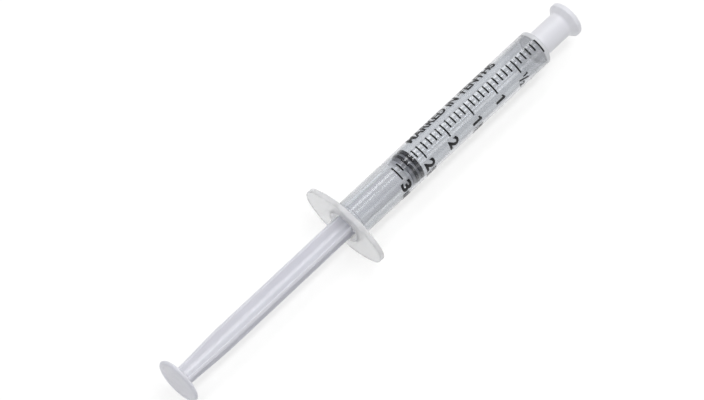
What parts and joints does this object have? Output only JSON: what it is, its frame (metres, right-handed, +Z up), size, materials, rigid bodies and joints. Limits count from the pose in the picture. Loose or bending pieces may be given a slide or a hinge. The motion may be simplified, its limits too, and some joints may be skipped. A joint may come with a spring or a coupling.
{
  "type": "oral syringe",
  "caption": "Clear oral syringe with a flanged barrel, printed millilitre scale, cross-ribbed plunger rod, dark rubber stopper and a push-on tip cap.",
  "frame": {"origin": "on the barrel's axis, at the front face of the finger flange", "axes": "+X along the axis from the thumb disc towards the nozzle, +Y along the finger flange's long side, +Z up with the syringe lying on its flange"},
  "size_m": [0.1396, 0.025, 0.0144],
  "materials": {
    "barrel_plastic": "clear moulded polypropylene, slightly hazy, smooth",
    "stopper_rubber": "smooth dark grey rubber with a thin silicone film",
    "rod_plastic": "clear moulded polypropylene with a faint lavender tint",
    "cap_plastic": "milky translucent polyethylene, satin",
    "scale_ink": "black pad-printed ink"
  },
  "bodies": {
    "barrel_body": {"barrel": "barrel_plastic"},
    "stopper_body": {"stopper": "stopper_rubber"},
    "rod_body": {"plunger_rod": "rod_plastic"},
    "cap_body": {"tip_cap": "cap_plastic"}
  },
  "joints": [
    {"name": "plunger_slide", "type": "slide", "parent": "barrel_body", "child": "stopper_body", "axis": [1, 0, 0], "range_m": [-0.017, 0.0447]},
    {"name": "rod_spin", "type": "hinge", "parent": "stopper_body", "child": "rod_body", "pos_m": [-0.0579, 0, 0], "axis": [1, 0, 0], "continuous": true},
    {"name": "cap_pull", "type": "slide", "parent": "barrel_body", "child": "cap_body", "axis": [1, 0, 0], "range_m": [0, 0.012]}
  ]
}
